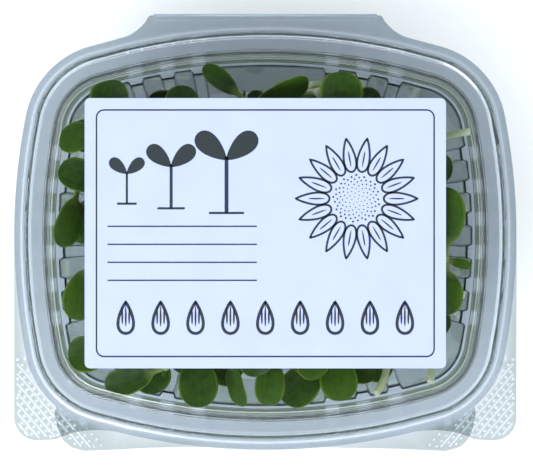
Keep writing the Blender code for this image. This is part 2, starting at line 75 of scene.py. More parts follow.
def addNode(tree, kind, inputs={}, **settings):
    # One node with its settings
    # An input is a value, an sRGB hex, a socket, or a node for its first live output
    node = tree.nodes.new("ShaderNode" + kind)
    for name, value in settings.items():
        setattr(node, name, value)
    for name, value in inputs.items():
        if isinstance(value, str):
            value = linearColour(value)
        if isinstance(value, bpy.types.Node):
            value = next(socket for socket in value.outputs if socket.enabled)
        if isinstance(value, bpy.types.NodeSocket):
            tree.links.new(value, node.inputs[name])
        else:
            node.inputs[name].default_value = value
    return node


def makeMaterial(name, drawShader):
    material = bpy.data.materials.new(name)
    material.use_nodes = True
    tree = material.node_tree
    tree.nodes.clear()
    addNode(tree, "OutputMaterial", {0: drawShader(tree)})
    return material


def newMesh():
    # Every mesh has the same marks: place in a ring, painted shade of the sheet, place on the leaf
    bm = bmesh.new()
    bm.verts.layers.int.new("ringPlace")
    bm.verts.layers.float_vector.new("home")
    bm.verts.layers.float_vector.new("leafPlace")
    bm.verts.layers.float.new("leafTone")
    bm.verts.layers.float.new("paintedSheetShade")
    return bm


def addObject(name, data):
    thing = bpy.data.objects.new(name, data)
    bpy.context.scene.collection.objects.link(thing)
    return thing


def addPiece(name, bm, materials, body, replaced=(), smooth=True):
    mesh = bpy.data.meshes.new(name)
    bm.to_mesh(mesh)
    bm.free()
    for material in materials:
        mesh.materials.append(material)
    if smooth:
        mesh.shade_smooth()
    piece = addObject(name, mesh)
    if body:
        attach(piece, body)
    if replaced:
        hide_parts(*replaced)
    return piece


# Materials

def layered(tree, colour, layers):
    # Lays colours over one another: a value, its start and end, the share at each, and the colour
    for value, start, end, least, most, over in layers:
        share = addNode(tree, "MapRange", {0: value, 1: start, 2: end, 3: least, 4: most})
        colour = addNode(tree, "Mix", {0: share, 6: colour, 7: over}, data_type="RGBA")
    return colour


def clearSheetShader(tree):
    # PET sheet, thermoformed: clear and glossy with a blue-grey cast, and faint waves from the mould
    look = {"tint": "#d8dfe5", "paintedShadeTint": "#86967f", "roughness": 0.0,
            "waveSize": 12.0, "waveDepth": 0.03, "shade": "#e9edeb"}
    place = addNode(tree, "TexCoord").outputs["Object"]
    # Painted shade: along the ledge, the walls and the steps the sheet's colour is mixed toward a deeper green-grey,
    # which paints in the shade and green cast of the greens and the dark lines that refraction draws
    tone = addNode(tree, "Attribute", attribute_name="paintedSheetShade")
    tint = addNode(tree, "Mix", {
        0: tone.outputs["Fac"], 6: look["tint"], 7: look["paintedShadeTint"]}, data_type="RGBA")
    waves = addNode(tree, "TexNoise", {
        "Vector": place, "Scale": 1 / (look["waveSize"] * mm), "Detail": 1.0})
    bump = addNode(tree, "Bump", {"Strength": 0.25, "Distance": look["waveDepth"] * mm, "Height": waves})
    sheet = addNode(tree, "BsdfPrincipled", {
        "Base Color": tint, "Roughness": look["roughness"], "IOR": plasticIndex,
        "Transmission Weight": 1.0, "Normal": bump})
    # Lamps reach the greens straight through the sheet
    rays = addNode(tree, "LightPath")
    either = addNode(tree, "Math", {
        0: rays.outputs["Is Shadow Ray"], 1: rays.outputs["Is Diffuse Ray"]}, operation="MAXIMUM")
    through = addNode(tree, "BsdfTransparent", {"Color": look["shade"]})
    return addNode(tree, "MixShader", {0: either, 1: sheet, 2: through})


def thinWebShader(tree):
    # Hinge web: PET worked thin and a little whitened, so a pale see-through line
    look = {"film": "#d5dfe8", "white": "#c9d6e2", "share": 0.4, "roughness": 0.2}
    film = addNode(tree, "BsdfTransparent", {"Color": look["film"]})
    white = addNode(tree, "BsdfPrincipled", {
        "Base Color": look["white"], "Roughness": look["roughness"], "IOR": plasticIndex})
    return addNode(tree, "MixShader", {0: look["share"], 1: film, 2: white})


def labelPaperShader(tree):
    # Coated label paper, calendered: a smooth satin bluish white with a faint fibre grain
    look = {"paper": "#b9c3ee", "shade": "#b0bbe8", "fibre": 0.35, "cloud": 14.0, "roughness": 0.46}
    place = addNode(tree, "TexCoord").outputs["Object"]
    fibres, clouds = [
        addNode(tree, "TexNoise", {"Vector": place, "Scale": 1 / (look[size] * mm), "Detail": detail})
        for size, detail in (("fibre", 3.0), ("cloud", 2.0))]
    colour = addNode(tree, "Mix", {0: clouds, 6: look["paper"], 7: look["shade"]}, data_type="RGBA")
    gloss = addNode(tree, "MapRange", {
        0: fibres, 3: look["roughness"] - 0.06, 4: look["roughness"] + 0.08})
    bump = addNode(tree, "Bump", {"Strength": 0.12, "Distance": 0.02 * mm, "Height": fibres})
    return addNode(tree, "BsdfPrincipled", {"Base Color": colour, "Roughness": gloss, "Normal": bump})


def labelInkShader(tree):
    # Thermal print: a flat blue-black that lets a little of the paper's grain through
    look = {"ink": "#1b2426", "thin": "#2c3638", "grain": 0.5}
    place = addNode(tree, "TexCoord").outputs["Object"]
    grain = addNode(tree, "TexNoise", {"Vector": place, "Scale": 1 / (look["grain"] * mm), "Detail": 2.0})
    colour = addNode(tree, "Mix", {0: grain, 6: look["ink"], 7: look["thin"]}, data_type="RGBA")
    return addNode(tree, "BsdfPrincipled", {"Base Color": colour, "Roughness": 0.5})


def seedLeafShader(tree):
    # Sunflower seed leaf: thick and waxy, so deep green with soft shine and a yellower margin
    look = {"deep": "#1a370a", "youngAndLit": "#4e700c", "margin": "#839c26", "under": "#42621f",
            "stalk": "#a2b05c", "vein": "#5f8030", "mottle": 2.6, "cells": 0.25}
    place = addNode(tree, "TexCoord").outputs["Object"]
    spot = addNode(tree, "Attribute", attribute_name="leafPlace")
    tone = addNode(tree, "Attribute", attribute_name="leafTone")
    along, across, facing = addNode(tree, "SeparateXYZ", {0: spot.outputs["Vector"]}).outputs
    mottle = addNode(tree, "TexNoise", {
        "Vector": place, "Scale": 1 / (look["mottle"] * mm), "Detail": 3.0})
    cells = addNode(tree, "TexVoronoi", {"Vector": place, "Scale": 1 / (look["cells"] * mm)})
    # A higher tone is a brighter green: the young bud, and painted light on the leaves high in the heap; every leaf
    # also varies a little over its face
    shift = addNode(tree, "MapRange", {0: mottle, 1: 0.3, 2: 0.7, 3: -0.18, 4: 0.18})
    youthAndLight = addNode(tree, "Math", {0: tone.outputs["Fac"], 1: shift}, operation="ADD", use_clamp=True)
    # Five lengthwise veins that meet at both ends
    wave = addNode(tree, "Math", {0: across, 1: 2 * math.pi / 0.36}, operation="MULTIPLY")
    comb = addNode(tree, "Math", {0: wave}, operation="COSINE")
    veins = addNode(tree, "MapRange", {0: comb, 1: 0.86, 2: 1.0, 3: 0.0, 4: 0.2})
    side = addNode(tree, "Math", {0: across}, operation="ABSOLUTE")
    colour = layered(tree, look["deep"], (
        (youthAndLight, 0.0, 1.0, 0.0, 1.0, look["youngAndLit"]), (veins, 0.0, 1.0, 0.0, 1.0, look["vein"]),
        (side, 0.84, 1.0, 0.0, 0.75, look["margin"]), (facing, 0.0, -0.3, 0.0, 0.5, look["under"]),
        (along, 0.12, 0.36, 0.8, 0.0, look["stalk"])))
    gloss = addNode(tree, "MapRange", {0: mottle, 3: 0.34, 4: 0.5})
    grain = addNode(tree, "Bump", {"Strength": 0.15, "Distance": 0.03 * mm, "Height": cells})
    bump = addNode(tree, "Bump", {
        "Strength": 0.35, "Distance": 0.12 * mm, "Height": veins, "Normal": grain}, invert=True)
    return addNode(tree, "BsdfPrincipled", {
        "Base Color": colour, "Roughness": gloss, "Normal": bump, "Subsurface Weight": 0.12,
        "Subsurface Radius": (0.3, 0.6, 0.1), "Subsurface Scale": 1.2 * mm, "Specular IOR Level": 0.28,
        "Coat Weight": 0.06, "Coat Roughness": 0.3})


def seedStemShader(tree):
    # Sunflower stem: juicy and half clear, pale yellow-green, whiter at its cut end
    look = {"green": "#a8b561", "pale": "#cdd3a3", "cut": "#e4e6cc", "streak": 0.5}
    place = addNode(tree, "TexCoord").outputs["Object"]
    spot = addNode(tree, "Attribute", attribute_name="leafPlace")
    along, around, other = addNode(tree, "SeparateXYZ", {0: spot.outputs["Vector"]}).outputs
    turn = addNode(tree, "CombineXYZ", {0: around, 1: other, 2: along})
    streaks = addNode(tree, "TexNoise", {"Vector": turn, "Scale": 5.0, "Detail": 3.0})
    specks = addNode(tree, "TexNoise", {
        "Vector": place, "Scale": 1 / (look["streak"] * mm), "Detail": 2.0})
    colour = layered(tree, look["pale"], (
        (along, 0.0, 0.35, 0.9, 0.0, look["green"]), (streaks, 0.45, 0.75, 0.0, 0.55, look["green"]),
        (along, 0.93, 0.995, 0.0, 0.9, look["cut"])))
    bump = addNode(tree, "Bump", {"Strength": 0.2, "Distance": 0.05 * mm, "Height": specks})
    return addNode(tree, "BsdfPrincipled", {
        "Base Color": colour, "Roughness": 0.38, "Normal": bump, "Subsurface Weight": 0.3,
        "Subsurface Radius": (0.6, 0.7, 0.3), "Subsurface Scale": 1.5 * mm})


clearSheet = makeMaterial("thermoformed PET", clearSheetShader)
thinWeb = makeMaterial("whitened PET web", thinWebShader)
labelPaper = makeMaterial("satin label paper", labelPaperShader)
labelInk = makeMaterial("thermal print", labelInkShader)
seedLeaf = makeMaterial("waxy seed leaf", seedLeafShader)
seedStem = makeMaterial("juicy pale stem", seedStemShader)
print("materials made")


# Plan of the rim, in millimetres about its middle

rim = {
    "halfWidth": 92.3, "halfDepth": 78.75, "bowRadius": 230.0, "cornerRadius": 33.0, "cornerSteps": 26,
    "hingeReach": 80.95, "hingeHalf": 42.9, "flareStart": 53.0, "centreY": -0.825,
}
bowRadius, cornerRadius = rim["bowRadius"], rim["cornerRadius"]


def cornerCentre():
    # The corner arc touches both bowed sides from within
    reach = bowRadius - cornerRadius
    side = Vector((rim["halfWidth"] - bowRadius, 0.0))
    end = Vector((0.0, rim["halfDepth"] - bowRadius))
    half = (end - side) / 2
    across = Vector((-half.y, half.x)).normalized()
    return (side + end) / 2 + across * math.sqrt(reach ** 2 - half.length ** 2)


corner = cornerCentre()
sideAngle = math.asin(corner.y / (bowRadius - cornerRadius))
endAngle = math.asin(corner.x / (bowRadius - cornerRadius))
sideCentre = rim["halfWidth"] - bowRadius
endCentre = rim["halfDepth"] - bowRadius
# Centres of the right, back, left and front bow
bows = [Vector(c) for c in ((sideCentre, 0), (0, endCentre), (-sideCentre, 0), (0, -endCentre))]


def unit(angle):
    return Vector((math.cos(angle), math.sin(angle)))


def arc(centre, radius, start, stop, steps):
    angles = [start + (stop - start) * i / steps for i in range(steps + 1)]
    return [centre + radius * unit(a) for a in angles]


def bezier(start, control, stop, steps):
    shares = [i / steps for i in range(steps + 1)]
    return [(1 - t) ** 2 * start + 2 * t * (1 - t) * control + t ** 2 * stop for t in shares]


def mirrored(points):
    return [Vector((-p.x, p.y)) for p in reversed(points)]


def cornerArc(index, inset, steps):
    # Corner after side number index, both ends included
    before = (sideAngle, endAngle)[index % 2]
    after = (endAngle, sideAngle)[index % 2]
    centre = Vector(((1, -1, -1, 1)[index] * corner.x, (1, 1, -1, -1)[index] * corner.y))
    start = index * quarter
    return arc(centre, cornerRadius - inset, start + before, start + quarter - after, steps)


def backY(x):
    return endCentre + math.sqrt(bowRadius ** 2 - x ** 2)


def hingeEdge():
    # Back edge from right to left: a flare, the straight strip and its mirror
    half = rim["hingeHalf"]
    start = Vector((rim["flareStart"], backY(rim["flareStart"])))
    turn = Vector((rim["flareStart"] - 5.5, start.y + 1.3))
    right = bezier(start, turn, Vector((half + 0.7, rim["hingeReach"] - 1.8)), 8)
    right += bezier(Vector((half + 0.45, rim["hingeReach"] - 1.2)), Vector((half, rim["hingeReach"])),
                    Vector((half - 1.4, rim["hingeReach"])), 4)
    return right + mirrored(right)


def sideAndBack(sideStart):
    right = arc(bows[0], bowRadius, sideStart, sideAngle, 14)[:-1]
    right += cornerArc(0, 0.0, rim["cornerSteps"])
    return right + hingeEdge() + mirrored(right)


def frontBow(limit, steps):
    half = math.asin(limit / bowRadius)
    return arc(bows[3], bowRadius, 3 * quarter - half, 3 * quarter + half, steps)


def trayEdge():
    # The tray's tabs face forwards, with one straight edge that runs into the front bow
    corners = [(-77.4, -66.8), (-75.9, -72.2), (-74.2, -75.6), (-71.3, -78.0), (-66.5, -79.3),
               (-58.5, -78.95), (-50.0, -78.5), (-33.0, -77.8)]
    left = cornerArc(2, 0.0, rim["cornerSteps"])[:17] + [Vector(c) for c in corners]
    return sideAndBack(-sideAngle) + left[1:] + frontBow(19.0, 16) + mirrored(left[1:-1])


def lidEdge():
    # The lid's tabs face sideways: each runs straight on from the widest part of the side
    centre = Vector((-rim["halfWidth"] + 8.5, -66.8))
    left = arc(centre, 8.5, 2 * quarter, 3 * quarter, 12)
    left += bezier(Vector((-76.8, -74.9)), Vector((-68.5, -70.3)), Vector((-55.3, -backY(55.3))), 10)[:-1]
    return sideAndBack(0.0) + left + frontBow(55.3, 30) + mirrored(left)


def insideDepth(x, y):
    # Distance of a point within the rim outline, measured inwards from it
    x, y = abs(x), abs(y)
    side = bowRadius - math.hypot(x - rim["halfWidth"] + bowRadius, y)
    end = bowRadius - math.hypot(x, y - rim["halfDepth"] + bowRadius)
    angle = math.atan2(y - corner.y, x - corner.x)
    if sideAngle < angle < quarter - endAngle:
        return cornerRadius - math.hypot(x - corner.x, y - corner.y)
    return min(side, end)


def spotAt(point, z):
    return Vector((point.x * mm, (point.y + rim["centreY"]) * mm, z * mm))


# Clear sheets: the tray and the lid

ribs = {
    "side": (-30.4, -18.2, -6.1, 6.1, 18.2, 30.4), "end": (-48.0, -36.3, -24.7, 24.7, 36.3, 48.0),
    "plain": (-16.0, -10.7, -5.3, 0.0, 5.3, 10.7, 16.0), "depth": 1.8, "foot": 3.1, "top": 2.05,
    # clearing is the share of the painted shade that is taken off the ribs, so their tops stay pale
    "clearing": 0.6,
}
ribHalf = (0.3, 0.66, 0.74, 0.83, 0.92, 1)
ribSteps = [share * ribs["foot"] for share in (*[-h for h in reversed(ribHalf)], 0, *ribHalf)]


def ringPoints(inset, depth):
    # A ring of the section at an inset from the rim, where ribs stand in by a share of their depth
    points = []
    for index, centre in enumerate(bows):
        places = [(s, 0.0) for s in (ribs["plain"] if index % 2 else ())]
        for rib in ribs["end" if index % 2 else "side"]:
            for step in ribSteps:
                t = min(max((ribs["foot"] - abs(step)) / (ribs["foot"] - ribs["top"]), 0.0), 1.0)
                places.append((rib + step, ribs["depth"] * depth * t * t * (3 - 2 * t)))
        radius = bowRadius - inset
        for place, inward in sorted(places):
            angle = index * quarter + math.asin(place / radius)
            points.append(centre + (radius - inward) * unit(angle))
        points += cornerArc(index, inset, rim["cornerSteps"])
    return points


def roundedSection(points, radius, steps):
    # A section of (inset, height, rib depth, painted shade) with each inner corner eased by a short curve
    eased = [Vector(points[0])]
    for before, here, after in zip(points, points[1:], points[2:]):
        before, here, after = Vector(before), Vector(here), Vector(after)
        if (here - before).xy.angle((after - here).xy) < 0.12:    # nearly straight on
            eased.append(here)
            continue
        ease = min(radius, 0.45 * (here - before).length, 0.45 * (after - here).length)
        start = here + (before - here).normalized() * ease
        stop = here + (after - here).normalized() * ease
        eased += bezier(start, here, stop, steps)
    return eased + [Vector(points[-1])]


def ringEdges(bm, verts):
    return [bm.edges.new(pair) for pair in zip(verts, verts[1:] + verts[:1])]


def closedLoop(bm, points, z):
    # A loop of edges whose vertices remember their place in the ring
    mark = bm.verts.layers.int["ringPlace"]
    verts = [bm.verts.new(spotAt(p, z)) for p in points]
    for i, vert in enumerate(verts):
        vert[mark] = i
    return ringEdges(bm, verts)


def extrudeOn(bm, edges):
    # Draws edges on into new ones that lie on the old, and returns the new edges and vertices
    fresh = bmesh.ops.extrude_edge_only(bm, edges=edges)["geom"]
    verts = {item for item in fresh if isinstance(item, bmesh.types.BMVert)}
    drawn = [item for item in fresh if isinstance(item, bmesh.types.BMEdge) and set(item.verts) <= verts]
    return drawn, verts


def drawSection(bm, edges, section):
    # Takes a ring through the rest of the section and paints its shade on; a shade over one is painted on the ribs
    # alone, as their dark edge lines, and other shade is partly taken off the ribs
    mark = bm.verts.layers.int["ringPlace"]
    toneMark = bm.verts.layers.float["paintedSheetShade"]
    plain, ribbed = ringPoints(10.0, 0.0), ringPoints(10.0, 1.0)
    onRib = [(a - b).length / ribs["depth"] for a, b in zip(plain, ribbed)]
    for inset, z, depth, tone in section:
        edges, verts = extrudeOn(bm, edges)
        points = ringPoints(inset, depth)
        for vert in verts:
            place = vert[mark]
            vert.co = spotAt(points[place], z)
            vert[toneMark] = onRib[place] if tone > 1.0 else tone * (1 - ribs["clearing"] * onRib[place])
    return edges


def markedLoop(bm, middles, radius, z, steps=8):
    # A small loop round a spot or along a bar; each vertex remembers the middle line that it stands off
    home = bm.verts.layers.float_vector["home"]
    first, last = middles[0], middles[-1]
    heading = math.atan2(last.y - first.y, last.x - first.x)
    start, half = heading + quarter, steps // 2
    points = [(first, p) for p in arc(first, radius, start, start + 2 * quarter, half)]
    tail = [(last, p) for p in arc(last, radius, heading - quarter, heading + quarter, half)]
    points += tail if first != last else tail[1:-1]
    verts = []
    for middle, point in points:
        vert = bm.verts.new(spotAt(point, z))
        vert[home] = spotAt(middle, z)
        verts.append(vert)
    return ringEdges(bm, verts)


def shadeTabs(bm, edges):
    # Painted shade darkens each corner tab a little, building up past the rim outline; its grip marks are left
    # unshaded, so they read lighter than the tab
    toneMark = bm.verts.layers.float["paintedSheetShade"]
    for vert in {vert for edge in edges for vert in edge.verts if vert.co.y < 0}:
        past = -insideDepth(vert.co.x / mm, vert.co.y / mm - rim["centreY"]) - grip["shadeFrom"]
        vert[toneMark] = grip["tone"] * max(min(past / grip["shadeRun"], 1.0), 0.0)


def raiseLoops(bm, edges, height):
    # Draws marked loops up into low domes and ridges, and closes their tops
    home = bm.verts.layers.float_vector["home"]
    toneMark = bm.verts.layers.float["paintedSheetShade"]
    for shrink, lift in ((0.78, 0.5), (0.66, 0.32), (0.5, 0.18)):
        edges, verts = extrudeOn(bm, edges)
        for vert in verts:
            middle = Vector(vert[home])
            flat = Vector((vert.co.x - middle.x, vert.co.y - middle.y, 0.0)) * shrink
            vert.co = Vector((middle.x + flat.x, middle.y + flat.y, vert.co.z + lift * height * mm))
            # Grip marks take no painted shade, so they stay lighter than the shaded tab
            vert[toneMark] = 0.0
    bmesh.ops.holes_fill(bm, edges=edges, sides=0)


def fillBetween(bm, *loops):
    edges = [edge for loop in loops for edge in loop]
    bmesh.ops.triangle_fill(bm, use_beauty=True, use_dissolve=False, edges=edges)


# Grip pattern of the corner tabs: slanting ridges with a row of dots between each two

grip = {
    "along": Vector((0.656, -0.755)), "start": -99.75, "spacing": 2.36, "rows": 9, "pitch": 2.66,
    # The tone entries give the painted shade on the tabs: how dark, where it starts past the rim outline and over what
    # run it builds
    "ridge": 0.32, "dot": 0.5, "margin": 1.15, "top": -44.0, "tone": 0.38,
    "shadeFrom": 0.3, "shadeRun": 1.2,
}


def isInside(point, outline):
    inside = False
    for a, b in zip(outline, outline[1:] + outline[:1]):
        if (a.y > point.y) != (b.y > point.y):
            if point.x < (b.x - a.x) * (point.y - a.y) / (b.y - a.y) + a.x:
                inside = not inside
    return inside


def inGrip(point, outline, keepOff):
    # Whether a grip mark at this point lies on the tab, clear of its edge and of the rim's bead
    if point.y > grip["top"] or insideDepth(point.x, point.y) > keepOff:
        return False
    margin = grip["margin"]
    turns = (0, 0.8, 1.6, 2.4, 3.1, 3.9, 4.7, 5.5)
    around = [Vector((margin * math.cos(a), margin * math.sin(a))) for a in turns]
    return all(isInside(point + step, outline) for step in around)


def gripMarks(outline, keepOff):
    # Middle lines of the ridges and dots on the left tab, then mirrored to the right one
    along = grip["along"]
    across = Vector((-along.y, along.x))
    marks = []
    for row in range(-2, grip["rows"]):
        base = across * (grip["start"] - row * grip["spacing"])
        steps = [i * 0.25 for i in range(-170, 360)]
        run = [base + along * s for s in steps]
        run = [p for p in run if p.x < 0 and inGrip(p, outline, keepOff)]
        if row >= 0 and len(run) > 8:
            marks.append((grip["ridge"], [run[0], run[-1]]))
        base -= across * grip["spacing"] / 2
        for i in range(-16, 34):
            dot = base + along * grip["pitch"] * (i + 0.5 * (row % 2))
            if dot.x < 0 and inGrip(dot, outline, keepOff):
                marks.append((grip["dot"], [dot, dot]))
    return marks + [(size, [Vector((-p.x, p.y)) for p in line]) for size, line in marks]


sheet = {
    "thickness": 0.42, "ease": 0.65, "easeSteps": 4, "steep": 0.25, "sharp": 0.5, "flatWeight": 90,
}
# Sections: inset, height, rib depth, painted shade; the painted shade lays darker green-grey bands at the ledge and
# wall and dark lines at the bead, the rib edges and the lid's risers
tray = {
    "faceZ": 46.0, "gripHeight": -0.12, "gripReach": 1.0,
    "section": [
        (2.1, 46.0, 0, 0), (3.3, 46.7, 0, 0), (4.5, 46.7, 0, 0), (5.9, 46.0, 0, 0), (10.6, 46.0, 0, 0),
        (11.7, 43.0, 0, 0.95), (11.9, 43.0, 0, 0.95), (12.1, 43.0, 0, 0.6), (12.8, 43.0, 0, 0.6),
        (13.0, 43.0, 0, 1.0), (14.1, 43.0, 0, 1.0), (14.3, 43.0, 0, 0.5), (14.6, 43.0, 0, 0.2),
        (15.0, 42.4, 0, 0.0), (15.4, 42.1, 0.2, 0.1), (15.8, 42.1, 0.8, 0.1), (15.95, 42.05, 0.97, 1.8),
        (16.0, 41.9, 1, 1.8), (16.04, 41.6, 1, 0.4), (21.5, 4.0, 1, 0.25), (24.0, 0.43, 0, 0.2),
        (31.0, 0.43, 0, 0.2), (32.5, 1.8, 0, 0.2), (36.0, 1.8, 0, 0.2),
    ],
}
lid = {
    "faceZ": 46.3, "gripHeight": 0.12, "gripReach": 0.6,
    "section": [
        (1.6, 46.3, 0, 0), (2.9, 47.05, 0, 0), (4.1, 47.2, 0, 0), (4.35, 47.2, 0, 0.6),
        (4.8, 47.2, 0, 0.6), (5.1, 47.1, 0, 0), (6.5, 46.3, 0, 0), (10.6, 46.3, 0, 0.1),
        (11.9, 49.35, 0, 0.9), (12.6, 49.75, 0, 0.2), (13.8, 53.4, 0, 0.9), (14.8, 54.3, 0, 0.2),
        (20.0, 54.3, 0, 0),
    ],
}
hingeRidges = [(0.5, [Vector((-40.5, y)), Vector((40.5, y))]) for y in (80.1, 78.6)]


def makeSheet(name, look, outline, ridges, facesUp, body, node):
    # A flange with its grip marks, and the section drawn on from the flange's inner edge
    bm = newMesh()
    edge = closedLoop(bm, outline, look["faceZ"])
    section = roundedSection(look["section"], sheet["ease"], sheet["easeSteps"])
    first = closedLoop(bm, ringPoints(section[0].x, 0), look["faceZ"])
    lines = gripMarks(outline, look["gripReach"]) + ridges
    marks = [markedLoop(bm, line, radius, look["faceZ"]) for radius, line in lines]
    fillBetween(bm, edge, first, *marks)
    raised = [e for loop in marks for e in loop]
    shadeTabs(bm, edge + raised)
    raiseLoops(bm, raised, look["gripHeight"])
    fillBetween(bm, drawSection(bm, first, section[1:]))
    bmesh.ops.recalc_face_normals(bm, faces=bm.faces[:])
    lean = sum(face.normal.z * face.calc_area() for face in bm.faces)
    if (lean > 0) != facesUp:
        bmesh.ops.reverse_faces(bm, faces=bm.faces[:])
    # Steep walls are left flat, since light meets them at a grazing angle, and clear turns stay crisp
    for face in bm.faces:
        face.smooth = abs(face.normal.z) > sheet["steep"]
    for edge in bm.edges:
        edge.smooth = len(edge.link_faces) == 2 and edge.calc_face_angle() < sheet["sharp"]
    piece = addPiece(name, bm, [clearSheet], body, [node], smooth=False)
    wall = piece.modifiers.new("sheet", "SOLIDIFY")
    wall.thickness = sheet["thickness"] * mm
    wall.offset = -1.0
    facing = piece.modifiers.new("flat faces", "WEIGHTED_NORMAL")
    facing.weight = sheet["flatWeight"]
    facing.keep_sharp = True


makeSheet("clearTray", tray, trayEdge(), [], True, "tray", "tray_base")
makeSheet("clearLid", lid, lidEdge(), hingeRidges, False, "lid", "lid")
print("tray and lid drawn")


# Living hinge: the thin folded web between the two sheets

fold = {
    "halfLength": 41.0, "middle": (80.95, 46.15), "radius": 0.45, "thickness": 0.25, "steps": 10,
    "overlap": 0.3,
}


def makeFold():
    bm = newMesh()
    y, z = fold["middle"]
    turns = [-quarter + 2 * quarter * i / fold["steps"] for i in range(fold["steps"] + 1)]
    radius, start = fold["radius"], y - fold["overlap"]
    heights = [z - radius] + [z + radius * math.sin(t) for t in turns] + [z + radius]
    depths = [start] + [y + radius * math.cos(t) for t in turns] + [start]
    verts = [bm.verts.new(spotAt(Vector((-fold["halfLength"], d)), h)) for d, h in zip(depths, heights)]
    edges = [bm.edges.new(pair) for pair in zip(verts, verts[1:])]
    edges, moved = extrudeOn(bm, edges)
    bmesh.ops.translate(bm, verts=list(moved), vec=(2 * fold["halfLength"] * mm, 0.0, 0.0))
    bmesh.ops.recalc_face_normals(bm, faces=bm.faces[:])
    piece = addPiece("hingeFold", bm, [thinWeb], None)
    wall = piece.modifiers.new("web", "SOLIDIFY")
    wall.thickness = fold["thickness"] * mm
    wall.offset = 0.0
    line = Vector((0.0, y))
    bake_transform(piece, "tray", "lid", spotAt(line, z - radius), spotAt(line, z + radius))


makeFold()
print("hinge folded")


# Label with a plain printed pattern of its own

label = {"size": (130.5, 97.6), "corner": 2.0, "bottom": 55.1, "thickness": 0.2, "ink": 0.04}


def flatShape(bm, points, z):
    return bm.faces.new([bm.verts.new((p.x * mm, p.y * mm, z * mm)) for p in points])


def roundedBox(halfX, halfY, radius, middle=Vector((0.0, 0.0))):
    outline = []
    for index, (sx, sy) in enumerate(((1, 1), (-1, 1), (-1, -1), (1, -1))):
        centre = middle + Vector((sx * (halfX - radius), sy * (halfY - radius)))
        outline += arc(centre, radius, index * quarter, (index + 1) * quarter, 6)
    return outline


def thickenFlat(bm, height):
    top = bmesh.ops.extrude_face_region(bm, geom=bm.faces[:])["geom"]
    verts = [item for item in top if isinstance(item, bmesh.types.BMVert)]
    bmesh.ops.translate(bm, verts=verts, vec=(0.0, 0.0, height * mm))
    bmesh.ops.recalc_face_normals(bm, faces=bm.faces[:])


def dropShape(middle, angle, length, width, blunt=0.35):
    # A seed or petal outline: pointed at its foot, rounded at its head
    points = []
    for i in range(28):
        t = 2 * math.pi * i / 28
        across = width / 2 * math.sin(t) * (1 - blunt * math.cos(t)) * abs(math.sin(t / 2)) ** 0.35
        points.append(Vector((length * (1 - math.cos(t)) / 2 - length / 2, across)))
    turn = Matrix.Rotation(angle, 2)
    return [middle + turn @ p for p in points]


def hollow(bm, face, width):
    # Leaves only a line of that width along the edge of a shape
    face.normal_update()
    bmesh.ops.inset_individual(bm, faces=[face], thickness=width * mm, use_even_offset=True)
    bmesh.ops.delete(bm, geom=[face], context="FACES")


printed = {
    "frameInset": 4.0, "frameLine": 0.55,
    "flower": Vector((33.0, 12.5)), "petals": 18, "petalFoot": 9.4, "petalLength": 13.0,
    "petalWidth": 5.4, "petalLine": 0.75, "petalVein": (6.0, 0.6),
    "seedDots": 110, "discRadius": 8.6,
    "seedRow": 9, "seedRowY": -30.5, "seedSize": (12.5, 7.0), "seedStep": 12.6, "seedLine": 1.1,
    "stripeStep": 1.25, "stripeWidth": 0.75, "leafSize": (11.0, 6.4), "leafTurn": 0.85,
    "sprouts": ((-50.0, 15.0, 0.72), (-34.0, 15.0, 1.0), (-14.0, 15.0, 1.28)),
    "lines": (2.5, -4.0, -10.5, -17.0), "lineSpan": (-57.0, -3.0), "lineWidth": 0.5,
}


goldenAngle = 2.39996


